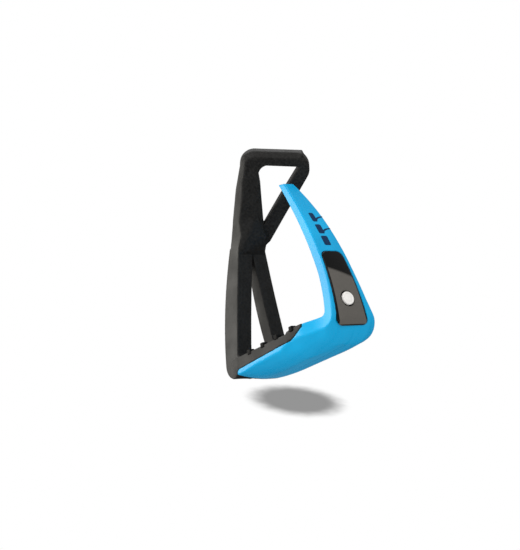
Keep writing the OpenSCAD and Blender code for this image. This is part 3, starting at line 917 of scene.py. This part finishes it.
def composite(name, dark, light, grain, rough_low, rough_high, strength):
    """Moulded composite: fine grain, faint clouds and paler rubbed edges."""
    look = Look(name, Specular_IOR_Level=0.28)
    small = look.math("MULTIPLY", look.noise(grain, 4.0), 0.35)
    fine = look.math("ADD", small, look.math("MULTIPLY", look.noise(grain * 0.42, 2.0), 0.65))
    clouds = look.noise(70, 3.0)
    mixed = look.math("ADD", look.spread(fine, 0.38, 0.62, 0, 0.8), look.spread(clouds, 0.3, 0.7, 0, 0.2))
    body = look.tint(mixed, dark, light)
    edge = look.node("NewGeometry").outputs["Pointiness"]
    worn = look.spread(edge, 0.52, 0.60, 0, 0.55)
    rubbed = look.math("MULTIPLY", worn, look.spread(look.noise(420, 3.0), 0.35, 0.65, 0.3, 1))
    look.colour(look.tint(rubbed, body, (0.055, 0.052, 0.047)))
    look.rough(look.spread(look.math("ADD", fine, clouds), 0.7, 1.3, rough_low, rough_high))
    look.bump(look.math("ADD", fine, look.math("MULTIPLY", clouds, 0.5)), strength, 0.00028)
    return look.material


def elastomer(name, deep, bright):
    """Satin coloured elastomer: faint flow streaks, small scuffs and a fine leather-like grain."""
    look = Look(name, Specular_IOR_Level=0.3)
    clouds = look.noise(28, 3.0)
    streaks = look.noise(60, 2.0, (0.25, 2.5, 0.6))
    flow = look.spread(streaks, 0.35, 0.65, 0, 0.4)
    body = look.tint(look.math("ADD", look.spread(clouds, 0.35, 0.65, 0, 0.6), flow), deep, bright)
    specks = look.spread(look.noise(900, 1.0), 0.73, 0.78, 0, 0.35)
    look.colour(look.tint(specks, body, (0.01, 0.12, 0.25)))
    fine = look.noise(1500, 3.0)
    look.rough(look.spread(look.math("ADD", streaks, fine), 0.7, 1.3, 0.24, 0.34))
    look.bump(fine, 0.10, 0.00008)
    return look.material


def cover_look_with_painted_reflection():
    """Moulded cover: black and polished towards its upper end, with a dull, paler pad below whose colour is a
    painted reflection.
    """
    look = Look("cover_look_with_painted_reflection", Specular_IOR_Level=0.3)
    split = look.node("SeparateXYZ", {0: look.place})
    # the upper edge of the pad slants down towards the rear
    line = look.math("ADD", split.outputs[2], look.math("MULTIPLY", split.outputs[1], 0.38))
    matt_and_reflection = look.spread(line, 0.0545, 0.0522, 0, 1)
    # and it stops short of the sides, of the lower end and of the cap
    across = look.math("ABSOLUTE", look.math("SUBTRACT", split.outputs[1], 0.0008))
    taper = look.math("MULTIPLY", look.math("SUBTRACT", split.outputs[2], cover_low[2] / MM),
                      4.2 / (cover_high[2] - cover_low[2]))
    inside = look.spread(look.math("ADD", across, taper), 0.0132, 0.0127, 0, 1)
    above = look.spread(split.outputs[2], (cover_low[2] + 1.0) / MM, (cover_low[2] + 1.5) / MM, 0, 1)
    reach = look.node("VectorMath", {0: look.place, 1: tuple(fasten / MM)}, operation="DISTANCE")
    clear = look.spread(reach.outputs["Value"], 0.0058, 0.0062, 0, 1)
    for limit in (inside, above, clear):
        matt_and_reflection = look.math("MULTIPLY", matt_and_reflection, limit)
    fine = look.noise(1800, 3.0)
    # painted reflection: the pad's paler colour stands in for a bright area mirrored in the cover; its
    # roughness is real
    reflection_grey = look.tint(look.spread(fine, 0.3, 0.7, 0, 1), (0.095, 0.089, 0.080), (0.130, 0.121, 0.109))
    body = look.tint(matt_and_reflection, (0.003, 0.003, 0.003), reflection_grey)
    # painted highlight: a warm pale line on the cover's sharp edges, kept off the pad itself
    edge = look.spread(look.node("NewGeometry").outputs["Pointiness"], 0.53, 0.60, 0, 0.6)
    edge = look.math("MULTIPLY", edge, look.math("SUBTRACT", 1.0, look.math("MULTIPLY", inside, above)))
    look.colour(look.tint(edge, body, (0.24, 0.22, 0.20)))
    look.rough(look.spread(matt_and_reflection, 0, 1, 0.16, 0.52))
    look.bump(look.math("MULTIPLY", fine, matt_and_reflection), 0.12, 0.0001)
    return look.material


def painted(name, dark, light, rough_low, rough_high, scale=600, strength=0.08, **constants):
    """Plain moulded or rubbed finish with fine variation."""
    look = Look(name, **constants)
    fine, clouds = look.noise(scale, 3.0), look.noise(120, 2.0)
    look.colour(look.tint(look.spread(look.math("ADD", fine, clouds), 0.7, 1.3, 0, 1), dark, light))
    look.rough(look.spread(clouds, 0.3, 0.7, rough_low, rough_high))
    look.bump(fine, strength, 0.00008)
    return look.material


def metal(name, dark, light, low, high):
    """Metal with fine drawn lines along the part."""
    look = Look(name, Metallic=1.0)
    lines = look.noise(240, 3.0, (0.15, 4.0, 4.0))
    look.colour(look.tint(lines, dark, light))
    look.rough(look.spread(lines, 0.3, 0.7, low, high))
    look.bump(lines, 0.06, 0.00005)
    return look.material


looks = {
    "black_composite": composite("black_composite", (0.0070, 0.0068, 0.0064), (0.0215, 0.0208, 0.0195), 1500,
                                 0.42, 0.62, 0.35),
    "grip_composite": composite("grip_composite", (0.010, 0.0098, 0.0093), (0.024, 0.023, 0.021), 1100,
                                0.5, 0.7, 0.5),
    "stud_black": painted("stud_black", (0.004, 0.004, 0.004), (0.009, 0.0088, 0.0085), 0.55, 0.7, 900, 0.15,
                          Specular_IOR_Level=0.12),
    "blue_elastomer": elastomer("blue_elastomer", (0.0, 0.325, 0.64), (0.0, 0.385, 0.73)),
    "cover_black": cover_look_with_painted_reflection(),
    "cap_white": painted("cap_white", (0.84, 0.82, 0.79), (0.92, 0.90, 0.88), 0.3, 0.42, 500, 0.06,
                         Coat_Weight=0.2),
    "mark_navy": painted("mark_navy", (0.0, 0.024, 0.082), (0.001, 0.034, 0.108), 0.4, 0.55,
                         Specular_IOR_Level=0.2),
    "steel": metal("steel", (0.30, 0.30, 0.31), (0.44, 0.44, 0.45), 0.30, 0.46),
    "spring_steel": metal("spring_steel", (0.30, 0.31, 0.34), (0.44, 0.45, 0.48), 0.3, 0.45),
    "brass": metal("brass", (0.60, 0.42, 0.18), (0.74, 0.55, 0.27), 0.3, 0.42),
}

# what each look is on: the new pieces, and the nodes that the CAD made
worn_by = {
    "black_composite": ((inner_skin, core_skin, knuckle_skin), ("pin_plug", "inner_branch", "tread_core")),
    "grip_composite": ((plate_skin,), ("grip_plate",)),
    "stud_black": ((studs_skin,), ("grip_studs",)),
    "blue_elastomer": ((shell_skin,), ("heel_buffer", "tread_shell", "branch_sleeve")),
    "cover_black": ((cover_skin,), ("branch_cover",)),
    "cap_white": ((cap_skin,), ("cover_cap",)),
    "mark_navy": (mark_skins, ("grip_mark_upper", "grip_mark_middle", "grip_mark_lower")),
    "steel": ((), ("hinge_pin", "grip_screws", "blade_rivets", "cover_screw")),
    "spring_steel": ((), ("tread_blade", "blade_clamp", "branch_blade")),
    "brass": ((), ("cover_nut",)),
}
for slot, (pieces, names) in worn_by.items():
    for piece in (*pieces, *(nodes[name] for name in names)):
        piece.data.materials.clear()
        piece.data.materials.append(looks[slot])


# ---- Camera ----

# the photograph's viewing angle: round from the front, up, and rolled
azimuth, elevation, roll = math.radians(50), math.radians(-15), math.radians(12)
distance = 1.030
target = Vector((0.01195, 0, 0.0813))
towards = Vector((math.sin(azimuth) * math.cos(elevation), -math.cos(azimuth) * math.cos(elevation),
                  math.sin(elevation)))
level = Vector((math.cos(azimuth), math.sin(azimuth), 0))
upright = towards.cross(level)
right = level * math.cos(roll) - upright * math.sin(roll)
up = level * math.sin(roll) + upright * math.cos(roll)


def look_from(place, aim, up_hint):
    """Placement of something at place that looks at aim."""
    back = (place - aim).normalized()
    across = up_hint.cross(back).normalized()
    above = back.cross(across)
    matrix = Matrix((across, above, back)).transposed().to_4x4()
    matrix.translation = place
    return matrix


camera = bpy.data.objects.new("camera", bpy.data.cameras.new("camera"))
bpy.context.scene.collection.objects.link(camera)
camera.matrix_world = look_from(target + towards * distance, target - right * 0.0248 - up * 0.0141, up)
camera.data.sensor_width = 36
camera.data.sensor_fit = "HORIZONTAL"
camera.data.lens = 94.2
camera.data.clip_end = 20
bpy.context.scene.camera = camera


# ---- Light and floor ----

def panel(name, direction, away, size, radiance, colour=(1, 1, 1)):
    """Square soft light that faces the object; size is its side, away its distance."""
    light = bpy.data.lights.new(name, "AREA")
    light.shape = "SQUARE"
    light.size = size
    light.energy = radiance * math.pi * size * size
    light.color = colour
    holder = bpy.data.objects.new(name, light)
    bpy.context.scene.collection.objects.link(holder)
    centre = Vector((0, 0, 0.08))
    place = centre + Vector(direction).normalized() * away
    holder.matrix_world = look_from(place, centre, Vector((0, 0.01, 1)))
    holder.visible_camera = False
    return holder


panel("key", (-0.74, -0.62, 0.30), 0.9, 0.75, 3.4, (1.0, 0.97, 0.90))
panel("brow", (0.534, -0.653, 0.543), 0.9, 0.45, 2.6, (1.0, 0.98, 0.94))
panel("top", (-0.15, 0.1, 1.0), 0.9, 0.8, 1.6)
panel("front", (0.35, -1.0, -0.1), 1.1, 0.6, 0.7)


def build_world():
    """White to the camera, even white light on the object, and a darker room in its gloss."""
    world = bpy.data.worlds.new("studio")
    world.use_nodes = True
    tree = world.node_tree

    def node(kind, **inputs):
        made = tree.nodes.new("ShaderNode" + kind)
        for key, value in inputs.items():
            made.inputs[key.replace("_", " ")].default_value = value
        return made

    def mix(factor, first, second):
        made = node("MixShader")
        for socket, source in zip(made.inputs, (factor, first, second)):
            tree.links.new(source, socket)
        return made.outputs[0]

    lit = tree.nodes["Background"]
    lit.inputs["Color"].default_value = (1.0, 1.0, 0.99, 1)
    lit.inputs["Strength"].default_value = 0.88
    seen = node("Background", Color=(1, 1, 1, 1))
    mirrored = node("Background")
    height = node("SeparateXYZ")
    rise = node("MapRange", From_Min=-0.35, From_Max=0.35, To_Min=0.05, To_Max=0.34)
    tree.links.new(node("TexCoord").outputs["Generated"], height.inputs[0])
    tree.links.new(height.outputs[2], rise.inputs["Value"])
    tree.links.new(rise.outputs[0], mirrored.inputs["Strength"])
    ray = node("LightPath")
    room = mix(ray.outputs["Is Glossy Ray"], lit.outputs[0], mirrored.outputs[0])
    shown = mix(ray.outputs["Is Camera Ray"], room, seen.outputs[0])
    tree.links.new(shown, tree.nodes["World Output"].inputs["Surface"])
    return world


bpy.context.scene.world = build_world()
bpy.context.scene.view_settings.view_transform = "Standard"


def build_floor():
    """Round patch below the object, tilted to the camera, that carries the object's soft shadow."""
    rings, count, reach = 12, 64, 0.045
    points, faces = [(0, 0, 0)], []
    for k in range(1, rings + 1):
        points += [(x, y, 0) for x, y in circle(reach * k / rings, count)]
    for i in range(count):
        j = (i + 1) % count
        faces.append((0, 1 + i, 1 + j))
        for k in range(rings - 1):
            a, b = 1 + k * count, 1 + (k + 1) * count
            faces.append((a + i, b + i, b + j, a + j))
    made = make_mesh("floor", points, faces)
    normal = (up * 0.975 + right * 0.105 + towards * 0.205).normalized()
    across = right.cross(normal).normalized()
    matrix = Matrix((normal.cross(across), across, normal)).transposed().to_4x4()
    matrix.translation = target - up * 0.1090 + right * 0.0028
    made.matrix_world = matrix
    return made


def floor_finish():
    """Painted shadow: dark in the middle, clear at the rim and from below."""
    look = Look("floor_shadow")
    away = look.node("VectorMath", {0: look.place}, operation="LENGTH").outputs["Value"]
    cloudy = look.math("ADD", away, look.spread(look.noise(90, 3.0), 0.3, 0.7, -0.0012, 0.0012))
    fade = look.node("MapRange", {"Value": cloudy, "From Min": 0.043, "From Max": 0.022},
                     interpolation_type="SMOOTHSTEP").outputs[0]
    facing = look.math("SUBTRACT", 1.0, look.node("NewGeometry").outputs["Backfacing"])
    fade = look.math("MULTIPLY", fade, facing)
    shade = look.node("Emission", {"Color": (0.30, 0.30, 0.30, 1)}).outputs[0]
    clear = look.node("BsdfTransparent").outputs[0]
    mixed = look.node("MixShader", {0: fade, 1: clear, 2: shade}).outputs[0]
    look.tree.links.new(mixed, look.tree.nodes["Material Output"].inputs["Surface"])
    look.tree.nodes.remove(look.shader)
    return look.material


floor = build_floor()
floor.data.materials.append(floor_finish())
floor.visible_diffuse = floor.visible_glossy = floor.visible_shadow = floor.visible_transmission = False
